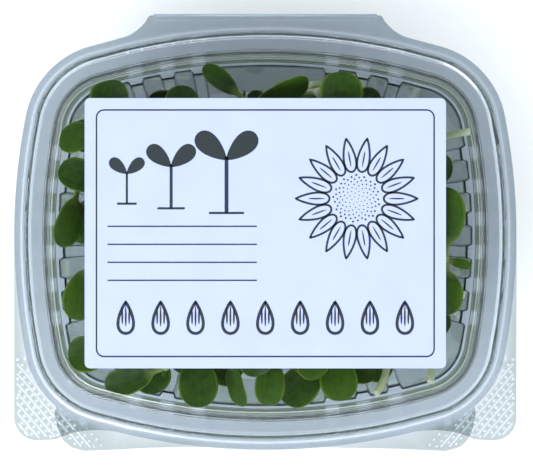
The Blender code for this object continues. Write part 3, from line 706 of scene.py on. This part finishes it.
def makePrint():
    bm = newMesh()
    z = label["bottom"] + label["thickness"] + 0.005
    halfX, halfY = label["size"][0] / 2, label["size"][1] / 2
    inset = printed["frameInset"]
    hollow(bm, flatShape(bm, roundedBox(halfX - inset, halfY - inset, 3.0), z), printed["frameLine"])
    # Sunflower head: two rings of outlined petals round a spiral of seed dots
    middle = printed["flower"]
    for i in range(printed["petals"]):
        angle = 2 * math.pi * i / printed["petals"]
        reach = printed["petalFoot"] + printed["petalLength"] / 2
        petal = dropShape(middle + reach * unit(angle), angle + math.pi,
                          printed["petalLength"], printed["petalWidth"], 0.25)
        hollow(bm, flatShape(bm, petal, z), printed["petalLine"])
        vein = dropShape(middle + (reach - 1.5) * unit(angle), angle, *printed["petalVein"], 0.0)
        flatShape(bm, vein, z)
    for i in range(printed["seedDots"]):
        share = (i + 0.5) / printed["seedDots"]
        angle = i * goldenAngle
        spot = middle + printed["discRadius"] * math.sqrt(share) * unit(angle)
        flatShape(bm, arc(spot, 0.2 + 0.2 * share, 0.0, 2 * math.pi * 7 / 8, 7), z)
    # A row of bold striped seeds below
    length, width = printed["seedSize"]
    for i in range(printed["seedRow"]):
        spot = Vector(((i - (printed["seedRow"] - 1) / 2) * printed["seedStep"], printed["seedRowY"]))
        hollow(bm, flatShape(bm, dropShape(spot, -quarter, length, width, 0.3), z), printed["seedLine"])
        for side in (-1, 0, 1):
            top = spot + Vector((side * printed["stripeStep"], 0.7))
            reach = length * (0.62 - 0.12 * abs(side))
            flatShape(bm, dropShape(top, -quarter, reach, printed["stripeWidth"], 0.0), z)
    # Three sprouts of growing size
    for x, y, size in printed["sprouts"]:
        foot = Vector((x, y - 6.0 * size))
        middle = foot + Vector((0.0, 8.0 * size))
        flatShape(bm, roundedBox(0.55 * size, 8.0 * size, 0.5 * size, middle), z)
        length, width = printed["leafSize"]
        for turn in (quarter + printed["leafTurn"], quarter - printed["leafTurn"]):
            leafMiddle = foot + Vector((0.0, 15.0 * size)) + 5.6 * size * unit(turn)
            flatShape(bm, dropShape(leafMiddle, turn, length * size, width * size, 0.25), z)
        flatShape(bm, roundedBox(5.0 * size, 0.4, 0.35, foot), z)
    # Ruled lines to write on
    start, stop = printed["lineSpan"]
    for y in printed["lines"]:
        middle = Vector(((start + stop) / 2, y))
        flatShape(bm, roundedBox((stop - start) / 2, printed["lineWidth"] / 2, 0.2, middle), z)
    thickenFlat(bm, label["ink"])
    addPiece("labelPrint", bm, [labelInk], "lid", smooth=False)


def makeLabel():
    bm = newMesh()
    width, depth = label["size"]
    flatShape(bm, roundedBox(width / 2, depth / 2, label["corner"]), label["bottom"])
    thickenFlat(bm, label["thickness"])
    addPiece("labelSheet", bm, [labelPaper], "lid", ["label"], smooth=False)


makeLabel()
makePrint()
print("label printed")


# Sprouts, in millimetres: the same draw of the heap as in the solids

greens = {
    "seed": 27, "tries": 500, "clearance": 0.35, "count": 16, "levels": (4.6, 33.0),
    "floorZ": 1.8, "ledgeZ": 43.0, "lidFaceZ": 46.3, "lidTopZ": 54.3,
    "stemRadius": 1.4, "headRadius": 1.75, "head": 1.3, "stemSteps": 5,
    "petiole": 0.2, "petioleHalf": 1.0, "bladeHalf": 0.65, "bladeAngles": (38, 78, 118, 154),
}

# Insets of the walls: under the lid's top, at its foot, at the ledge and at the tray's foot
room = {
    "lidTop": 14.3, "lidFoot": 12.4, "wall": 16.0, "rib": 1.8, "gap": 0.4, "foot": 21.5, "footZ": 4.0,
}

# Leaves seen round the label: tip x, tip y, compass angle, length, width, height, roll
seenLeaves = [
    (-56.0, 57.1, 84, 19.8, 14.5, 50, 0), (-29.4, 57.6, 80, 19.1, 13.0, 37, 0),
    (-46.0, 49.5, 175, 21.0, 13.0, 32, 0), (-22.9, 62.3, 139, 19.5, 7.5, 46, 0),
    (15.7, 57.4, 15, 25.8, 11.0, 47, 55), (27.6, 59.7, 83, 22.1, 15.8, 50, 0),
    (45.5, 54.1, 32, 18.3, 13.0, 33, 0), (-72.2, 37.7, 165, 17.9, 12.5, 44, 0),
    (-75.5, 24.6, 162, 21.4, 12.0, 50, 0), (-75.0, -4.2, -94, 23.5, 11.0, 49, -45),
    (-67.3, -3.5, -98, 21.4, 13.0, 40, 0), (-69.5, -30.8, -104, 24.1, 13.0, 49, 0),
    (-72.5, -44.1, -176, 18.7, 13.5, 47, 0), (-58.9, -55.3, -162, 23.0, 10.5, 49, 0),
    (-60.7, -50.4, -156, 19.8, 11.0, 42, 0), (-40.1, -59.0, -76, 19.2, 14.0, 44, 0),
    (-23.8, -62.8, -81, 23.2, 14.5, 50, 0), (-7.8, -63.0, -86, 21.0, 9.0, 46, 50),
    (-9.4, -54.0, -32, 21.8, 13.0, 36, 0), (-2.7, -51.4, -80, 17.3, 12.0, 52, 0),
    (1.0, -62.4, -98, 21.4, 11.0, 48, 0), (6.9, -62.0, -132, 22.7, 14.0, 44, 0),
    (19.2, -52.3, -68, 17.3, 12.0, 51, 0), (28.0, -60.8, -79, 21.2, 14.0, 49, 0),
    (52.0, -51.6, -14, 21.9, 14.0, 38, 0), (70.3, 49.0, 22, 20.1, 11.0, 38, 0),
    (70.2, 23.7, -13, 19.6, 12.0, 36, 0), (69.3, -38.1, -51, 17.9, 11.0, 34, 0),
]
pairCrown = (66.3, -8.9, 48.5)
pairLeaves = [(94, 27.0, 15.0), (-93, 20.5, 13.0), (-14, 9.3, 4.0)]
# Cut ends seen: end x, end y, compass angle towards the leaves, height
seenStems = [
    (20.1, 53.5, -172, 43), (75.6, 38.3, -174, 47), (73.5, -21.9, 170, 46), (60.6, -54.0, 85, 47),
]


def addCoarseBlade(parts, place, blade, grow):
    # The plain form of a leaf, which is what the clearance test works on
    length, width, curl, cup = blade
    verts, faces = parts
    first = len(verts)
    petiole = greens["petiole"] * length
    thick = greens["bladeHalf"] + grow
    stations = [(0.0, greens["petioleHalf"] + grow), (petiole * 0.8, greens["petioleHalf"] + grow)]
    for degrees in greens["bladeAngles"]:
        angle = math.radians(degrees)
        half = width / 2 * math.sin(angle) * (1 - 0.15 * math.cos(angle))
        stations.append((petiole + (length - petiole) * (1 - math.cos(angle)) / 2, half + grow))
    for along, half in stations:
        for side, lift in ((half, cup * half), (0.0, thick), (-half, cup * half), (0.0, -thick)):
            verts.append(place @ bladePoint(length, curl, along, side, lift))
    verts.append(place @ bladePoint(length, curl, length + grow, 0.0, 0.0))
    tip = len(verts) - 1
    faces += ringFaces(first, len(stations))
    faces += [(tip - 4 + i, tip - 4 + (i + 1) % 4, tip) for i in range(4)]
    faces.append((first + 3, first + 2, first + 1, first))


def ringFaces(first, count):
    # Faces between rings of four vertices each
    starts = [first + 4 * ring for ring in range(count - 1)]
    sides = ((0, 1), (1, 2), (2, 3), (3, 0))
    return [(a + i, a + k, a + 4 + k, a + 4 + i) for a in starts for i, k in sides]


def bladePoint(length, curl, along, side, lift):
    # A point on a leaf that bends evenly along its length
    bend = curl * along / length
    x = length * math.sin(bend) / curl
    z = length * (1 - math.cos(bend)) / curl
    return Vector((x, side, z)) + Vector((-math.sin(bend), 0.0, math.cos(bend))) * lift


def stemStations(crown, heading, length, bend, drop):
    # Centre, direction and radius along a stem: a swollen head round the crown, then a bent tube
    head = greens["head"]
    along = unit(heading).to_3d()
    stations = [(crown - along * head, along, greens["stemRadius"] * 0.8)]
    stations.append((crown, along, greens["headRadius"]))
    point = crown + along * 2 * head
    steps = greens["stemSteps"]
    for i in range(steps + 1):
        turn = heading + bend * i / steps
        along = unit(turn).to_3d()
        stations.append((point, along, greens["stemRadius"]))
        point = point + along * (length / steps) - Vector((0.0, 0.0, drop / steps))
    return stations


def addCoarseStem(parts, stations, grow):
    verts, faces = parts
    first = len(verts)
    lift = Vector((0.0, 0.0, 1.0))
    for i, (point, along, stationRadius) in enumerate(stations):
        side = Vector((-along.y, along.x, 0.0))
        radius = stationRadius + grow
        centre = point - along * grow if i == 0 else point
        if i == len(stations) - 1:
            centre = point + along * grow
        verts.extend((centre + side * radius, centre + lift * radius))
        verts.extend((centre - side * radius, centre - lift * radius))
    faces += ringFaces(first, len(stations))
    faces += [(a, a + 1, a + 2, a + 3) for a in (first, len(verts) - 4)]


def bladePlace(crown, azimuth, pitch, roll):
    tilt = Matrix.Rotation(-pitch, 4, "Y") @ Matrix.Rotation(roll, 4, "X")
    return Matrix.Translation(crown) @ Matrix.Rotation(azimuth, 4, "Z") @ tilt


def coarseParts(sprout, grow):
    stem = ([], [])
    crown, leaves, line = sprout
    addCoarseStem(stem, stemStations(crown, *line), grow)
    parts = [stem]
    for azimuth, pitch, roll, *blade in leaves:
        part = ([], [])
        addCoarseBlade(part, bladePlace(crown, azimuth, pitch, roll), blade, grow)
        parts.append(part)
    return parts


def wallLimit(z):
    # Least inset from the rim outline at which something fits, for a height
    if z > greens["lidFaceZ"] + 3.0:
        return room["lidTop"]
    if z > greens["ledgeZ"] + 0.5:
        return room["lidFoot"]
    share = (greens["ledgeZ"] - z) / (greens["ledgeZ"] - room["footZ"])
    return room["wall"] + room["rib"] + room["gap"] + share * (room["foot"] - room["wall"])


def fitsInTray(parts):
    for part in parts:
        for v in part[0]:
            if not greens["floorZ"] + 0.3 < v.z < greens["lidTopZ"] - 0.2:
                return False
            if insideDepth(v.x, v.y) < wallLimit(v.z):
                return False
    return True


def merged(parts):
    verts, faces = [], []
    for partVerts, partFaces in parts:
        shift = len(verts)
        verts += partVerts
        faces += [tuple(i + shift for i in face) for face in partFaces]
    return verts, faces


def drawAngle(rng, low, high):
    return math.radians(rng.uniform(low, high))


def drawPose(rng, curls, pitches, rolls):
    # Pitch, roll and curl of a leaf; a curled leaf is tipped so that its middle lies level
    curl = drawAngle(rng, *curls)
    pitch = -curl / 2 + drawAngle(rng, *pitches)
    return pitch, drawAngle(rng, *rolls), curl


def drawStem(rng, heading, lengths, bend, drops):
    # Heading, length, bend and drop of a stem
    return heading, rng.uniform(*lengths), drawAngle(rng, -bend, bend), rng.uniform(*drops)


def secondLeaf(rng, azimuth, length, width):
    # The other seed leaf of a pair opens to one side of the first
    spread = drawAngle(rng, 60, 150) * rng.choice((-1, 1))
    size = rng.uniform(0.85, 1.0)
    pitch, roll, curl = drawPose(rng, (-34, -14), (-22, 4), (-35, 35))
    width = max(width, 11.0) * size
    return (azimuth + spread, pitch, roll, length * size, width, curl, rng.uniform(0.1, 0.3))


def inwardHeading(rng, crown):
    targetX = rng.uniform(-38, 38)
    targetY = rng.uniform(-28, 28)
    return math.atan2(targetY - crown.y, targetX - crown.x)


def leafSprout(rng, spec, ease):
    # A sprout hung from the tip of its seen leaf, which gives way as ease grows
    tipX, tipY, degrees, length, width, z, rollDegrees = spec
    azimuth = math.radians(degrees + rng.uniform(-4, 4))
    roll = math.radians(rollDegrees + rng.uniform(-10, 10))
    curl = drawAngle(rng, -34, -14)
    pitch = -curl / 2 + drawAngle(rng, -3, 12)
    cup = rng.uniform(0.1, 0.3)
    back = rng.uniform(0, 7 * ease)
    tipZ = min(z + rng.uniform(-1.5 - 5 * ease, 1.0), greens["lidTopZ"] - 1.5)
    tip = Vector((tipX - back * math.cos(azimuth), tipY - back * math.sin(azimuth), tipZ))
    turned = bladePlace(Vector(), azimuth, pitch, roll)
    reach = Vector((length * math.sin(curl) / curl, 0.0, length * (1 - math.cos(curl)) / curl))
    crown = tip - turned @ reach
    leaves = [(azimuth, pitch, roll, length, width, curl, cup)]
    leaves.append(secondLeaf(rng, azimuth, length, width))
    stem = drawStem(rng, inwardHeading(rng, crown), (34, 58), 60, (2, min(36, crown.z - 5)))
    return crown, leaves, stem


def pairSprout(rng, spec, ease):
    # The open pair: every leaf is set, and only the height and the stem are drawn
    crown = Vector(pairCrown) + Vector((0.0, 0.0, rng.uniform(-2, 1)))
    leaves = []
    for degrees, length, width in spec:
        pitch, roll, curl = drawPose(rng, (-30, -15), (-4, 6), (-8, 8))
        leaves.append((math.radians(degrees), pitch, roll, length, width, curl, 0.15))
    return crown, leaves, drawStem(rng, inwardHeading(rng, crown), (34, 58), 60, (4, 30))


def twinLeaves(rng, azimuth, length, width):
    # A pair of seed leaves that opens evenly about the stem's line
    leaves = []
    for side in (-1, 1):
        spread = side * drawAngle(rng, 22, 72)
        pitch, roll, curl = drawPose(rng, (-34, -14), (-10, 10), (-35, 35))
        leaves.append((azimuth + spread, pitch, roll, length, width, curl, rng.uniform(0.1, 0.3)))
    return leaves


def stemSprout(rng, spec, ease):
    # A sprout hung from the cut end of its seen stem
    endX, endY, degrees, z = spec
    heading = math.radians(degrees + rng.uniform(-4, 4))
    bend = drawAngle(rng, -50, 50)
    length = rng.uniform(28, 50)
    drop = rng.uniform(-2, 14)
    end = Vector((endX, endY, z + rng.uniform(-2 - 4 * ease, 1)))
    backwards = stemStations(Vector(), heading + bend + math.pi, length, -bend, -drop)
    azimuth = heading + bend
    leaves = twinLeaves(rng, azimuth, rng.uniform(17, 22), rng.uniform(10, 13))
    return end - backwards[-1][0], leaves, (azimuth + math.pi, length, -bend, -drop)


def fillSprout(rng, level, ease):
    # A sprout lying anywhere in the middle of the heap, at its own level
    azimuth = rng.uniform(0, 2 * math.pi)
    crown = Vector((rng.uniform(-52, 52), rng.uniform(-40, 40), level + rng.uniform(0, 3)))
    leaves = twinLeaves(rng, azimuth, rng.uniform(18, 24), rng.uniform(11, 14))
    heading = azimuth + math.pi + drawAngle(rng, -15, 15)
    return crown, leaves, drawStem(rng, heading, (38, 62), 60, (-4, min(6, crown.z - 4.2)))


def looseSprout(rng, level, ease):
    # A small sprout tucked into what room is left; those near the wall lie low and along it
    azimuth = rng.uniform(0, 2 * math.pi)
    crown = Vector((rng.uniform(-56, 56), rng.uniform(-42, 42), level + rng.uniform(-3, 3)))
    if rng.random() < 0.6:
        turn = rng.uniform(0, 2 * math.pi)
        inset = rng.uniform(23, 33)
        across, up = math.cos(turn), math.sin(turn)
        crown.x = math.copysign(abs(across) ** 0.5, across) * (rim["halfWidth"] - inset)
        crown.y = math.copysign(abs(up) ** 0.5, up) * (rim["halfDepth"] - inset)
        crown.z = 4.5 + 0.62 * (level - 4.5)
        azimuth = turn + rng.choice((-1, 1)) * quarter + rng.uniform(-0.7, 0.7)
    leaves = twinLeaves(rng, azimuth, rng.uniform(11, 18), rng.uniform(7, 11))
    heading = azimuth + math.pi + drawAngle(rng, -25, 25)
    return crown, leaves, drawStem(rng, heading, (14, 34), 50, (-8, 8))


def evenLevels(look):
    low, high = look["levels"]
    return [low + (high - low) * i / (look["count"] - 1) for i in range(look["count"])]


def placeSprouts(look, wanted, heap):
    # Each sprout is drawn again until it is clear of the tray and of those before it
    rng, tries, clearance = random.Random(look["seed"]), look["tries"], look["clearance"]
    placed = []
    tree = BVHTree.FromPolygons(*heap) if heap[0] else None
    for maker, spec in wanted:
        for attempt in range(tries):
            sprout = maker(rng, spec, attempt / tries)
            grown = coarseParts(sprout, clearance)
            if not fitsInTray(grown):
                continue
            if tree and tree.overlap(BVHTree.FromPolygons(*merged(grown))):
                continue
            placed.append(sprout)
            heap = merged([heap] + coarseParts(sprout, 0.0))
            tree = BVHTree.FromPolygons(*heap)
            break
    return placed, heap


# Fine leaves and stems on the same forms

fine = {
    "around": 16, "along": 20, "half": 0.42, "groove": 0.16, "wave": 0.22,
    "stemSides": 10, "stemRings": 26, "budLength": 3.4, "budWidth": 1.7,
}


def mapVerts(bm, verts, kind, tone, mapping):
    # Moves a simple shape's vertices to their places and leaves its marks on them
    placeMark = bm.verts.layers.float_vector["leafPlace"]
    toneMark = bm.verts.layers.float["leafTone"]
    faces = {face for vert in verts for face in vert.link_faces}
    for face in faces:
        face.material_index = kind
    for vert in verts:
        vert[toneMark] = tone
        spot, vert[placeMark] = mapping(vert.co.copy())
        vert.co = spotAt(spot, spot.z)


def addFineBlade(bm, place, blade, tone, detail=1.0):
    # A leaf from a ball: its poles become the stalk and the tip
    length, width, curl, cup = blade
    petiole = greens["petiole"] * length
    phase = tone * 31.0 + length
    ball = bmesh.ops.create_uvsphere(bm, u_segments=int(fine["around"] * detail),
                                     v_segments=int(fine["along"] * detail), radius=1.0)

    def mapping(co):
        along = length * (1 + co.z) / 2
        ring = math.hypot(co.x, co.y)
        across, top = (co.x / ring, co.y / ring) if ring > 1e-4 else (0.0, 0.0)
        share = min(max((along - petiole) / (length - petiole), 0.0), 1.0)
        angle = math.acos(1 - 2 * share)
        oval = width / 2 * math.sin(angle) * (1 - 0.15 * math.cos(angle))
        stalk = greens["petioleHalf"] * (1 - min(share * 2.2, 1.0)) ** 0.7
        half = math.hypot(oval, stalk)
        side = across * half
        spread = abs(across)
        rise = cup * half * (0.45 * spread + 0.55 * spread ** 2)
        thick = fine["half"] * (0.55 + 0.45 * math.sqrt(max(1 - spread ** 2, 0.0)))
        thick = thick + 0.35 * (1 - min(share * 3, 1.0))
        lift = rise + top * thick * min(1.0, 6 * (1 - along / length) + 0.25)
        if top > 0:
            lift -= fine["groove"] * math.exp(-(side / 0.7) ** 2) * math.sin(math.pi * share)
        lift += fine["wave"] * spread ** 3 * math.sin(along * 0.75 + phase + (2.1 if across > 0 else 0))
        return place @ bladePoint(length, curl, along, side, lift), Vector((along / length, across, top))

    mapVerts(bm, ball["verts"], 0, tone, mapping)


def stemPath(stations):
    # Even points along a smooth curve through the stations, with the radius at each
    path = []
    for i in range(len(stations) - 1):
        p0, p1, p2, p3 = [stations[min(max(k, 0), len(stations) - 1)] for k in range(i - 1, i + 3)]
        for step in range(5):
            t = step / 5
            point = 0.5 * (
                2 * p1[0] + (p2[0] - p0[0]) * t + (2 * p0[0] - 5 * p1[0] + 4 * p2[0] - p3[0]) * t ** 2
                + (3 * p1[0] - p0[0] - 3 * p2[0] + p3[0]) * t ** 3)
            ease = t * t * (3 - 2 * t)
            path.append((point, p1[2] + (p2[2] - p1[2]) * ease))
    return path + [(stations[-1][0], stations[-1][2])]


def addFineStem(bm, crown, line, tone):
    # A stem from a ball drawn out along the path: one pole is the head, the other the flat cut end
    path = stemPath(stemStations(crown, *line))
    rings = fine["stemRings"]
    ball = bmesh.ops.create_uvsphere(bm, u_segments=fine["stemSides"], v_segments=rings, radius=1.0)

    def mapping(co):
        share = min(math.acos(max(min(-co.z, 1.0), -1.0)) / math.pi * rings / (rings - 1), 1.0)
        ring = math.hypot(co.x, co.y)
        across, up = (co.x / ring, co.y / ring) if ring > 1e-4 else (0.0, 0.0)
        place = share * (len(path) - 1)
        i = min(int(place), len(path) - 2)
        t = place - i
        centre = path[i][0].lerp(path[i + 1][0], t)
        radius = path[i][1] + (path[i + 1][1] - path[i][1]) * t
        radius *= min(1.0, 0.35 + 6 * share) * (1 + 0.05 * math.sin(share * 17 + tone * 9))
        heading = (path[i + 1][0] - path[i][0]).normalized()
        side = Vector((-heading.y, heading.x, 0.0)).normalized()
        spot = centre + (side * across + heading.cross(side) * up) * radius
        if share > 0.999:
            spot += heading * 0.35 * across
        return spot, Vector((share, across, up))

    mapVerts(bm, ball["verts"], 1, tone, mapping)


def addFineSprout(bm, sprout, rng, detail=1.0):
    crown, leaves, line = sprout
    for azimuth, pitch, roll, *blade in leaves:
        # Leaves higher in the heap are painted brighter, as painted light from above, and each leaf's tone also varies
        # at random
        tone = min(max(0.16 + 0.02 * (crown.z - 30) + rng.uniform(-0.22, 0.3), 0.0), 1.0)
        addFineBlade(bm, bladePlace(crown, azimuth, pitch, roll), blade, tone, detail)
    addFineStem(bm, crown, line, rng.random())
    # The bud of the first true leaves sits between the seed leaves
    budTurn = line[0] + math.pi + rng.uniform(-0.3, 0.3)
    bud = (fine["budLength"], fine["budWidth"], -0.3, 0.25)
    addFineBlade(bm, bladePlace(crown, budTurn, 0.35, rng.uniform(-1, 1)), bud, 0.9, 0.5)


def makeGreens():
    wanted = [(pairSprout, pairLeaves)]
    wanted += [(stemSprout, spec) for spec in seenStems]
    wanted += [(leafSprout, spec) for spec in sorted(seenLeaves, key=lambda spec: -spec[5])]
    wanted += [(fillSprout, level) for level in evenLevels(greens)]
    sprouts, heap = placeSprouts(greens, wanted, ([], []))
    nodes = sorted(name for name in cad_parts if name.startswith("sprout_"))
    print("sprouts", len(sprouts), "of", len(nodes))
    rng = random.Random(5)
    for name, sprout in zip(nodes, sprouts):
        bm = newMesh()
        addFineSprout(bm, sprout, rng)
        title = name.replace("sprout", "seedling")
        addPiece(title, bm, [seedLeaf, seedStem], "tray", [name])
    return heap


loose = {"seed": 3, "count": 260, "bunches": 8, "tries": 40, "clearance": 0.1, "levels": (5.0, 46.0)}


def makeLooseGreens(heap):
    # More small sprouts, in a few bunches, fill the heap between the others
    wanted = [(looseSprout, level) for level in evenLevels(loose)]
    sprouts, heap = placeSprouts(loose, wanted, heap)
    print("small sprouts", len(sprouts))
    rng = random.Random(9)
    for bunch in range(loose["bunches"]):
        bm = newMesh()
        for sprout in sprouts[bunch::loose["bunches"]]:
            addFineSprout(bm, sprout, rng, 0.75)
        addPiece(f"smallSeedlings_{bunch + 1}", bm, [seedLeaf, seedStem], "tray")


makeLooseGreens(makeGreens())
print("greens grown")


# Floor, lights and camera

studio = {
    "floor": "#f4f5f6", "floorSize": 6.0, "sky": "#eef2f8", "zenith": 0.04, "side": 0.4,
    "ring": (1.8, 5.2), "front": (-0.42, -0.9, 0.0),
    "lampPlace": (-0.6, -0.95, 0.85), "lampSize": 0.7, "lampPower": 6.5,
    "cameraHeight": 0.5, "pixel": 0.368, "photoWidth": 533, "middle": (0.44, 0.095), "film": 36.0,
}


def makeStudio():
    bm = newMesh()
    bmesh.ops.create_grid(bm, x_segments=1, y_segments=1, size=studio["floorSize"] / 2)
    mesh = bpy.data.meshes.new("floor")
    bm.to_mesh(mesh)
    bm.free()
    mesh.materials.append(makeMaterial("matt painted board", lambda tree: addNode(
        tree, "BsdfPrincipled", {"Base Color": studio["floor"], "Roughness": 0.8})))
    addObject("floor", mesh)
    # The sky is dim overhead, so that flat plastic stays clear, with a bright ring lower down
    world = bpy.data.worlds.new("studio")
    world.use_nodes = True
    bpy.context.scene.world = world
    tree = world.node_tree
    tree.nodes.clear()
    place = addNode(tree, "TexCoord").outputs["Generated"]
    up = addNode(tree, "SeparateXYZ", {0: place}).outputs[2]
    lean = addNode(tree, "VectorMath", {0: place, 1: studio["front"]}, operation="DOT_PRODUCT")
    weak, strong = studio["ring"]
    ring = addNode(tree, "MapRange", {0: lean.outputs["Value"], 1: -0.8, 2: 0.8, 3: weak, 4: strong})
    above = addNode(tree, "MapRange", {
        0: up, 1: 0.72, 2: 0.86, 3: 1.0, 4: 0.0}, interpolation_type="SMOOTHSTEP")
    below = addNode(tree, "MapRange", {
        0: up, 1: 0.33, 2: 0.5, 3: 0.0, 4: 1.0}, interpolation_type="SMOOTHSTEP")
    ringShare = addNode(tree, "Math", {0: above, 1: below}, operation="MULTIPLY")
    plain = addNode(tree, "MapRange", {0: up, 1: 0.4, 2: 0.7, 3: studio["side"], 4: studio["zenith"]})
    power = addNode(tree, "Mix", {0: ringShare, 2: plain, 3: ring}, data_type="FLOAT")
    sky = addNode(tree, "Background", {0: studio["sky"], 1: power})
    addNode(tree, "OutputWorld", {0: sky})
    light = bpy.data.lights.new("softBox", "AREA")
    light.size = studio["lampSize"]
    light.energy = studio["lampPower"]
    lamp = addObject("softBox", light)
    lamp.location = studio["lampPlace"]
    lamp.rotation_euler = lamp.location.to_track_quat("Z", "Y").to_euler()


def makeCamera():
    camera = bpy.data.cameras.new("camera")
    camera.sensor_width = studio["film"]
    camera.lens = studio["film"] * studio["cameraHeight"] / (studio["pixel"] * mm * studio["photoWidth"])
    view = addObject("camera", camera)
    x, y = studio["middle"]
    view.location = (x * mm, y * mm, tray["faceZ"] * mm + studio["cameraHeight"])
    bpy.context.scene.camera = view


makeStudio()
makeCamera()
print("studio lit")
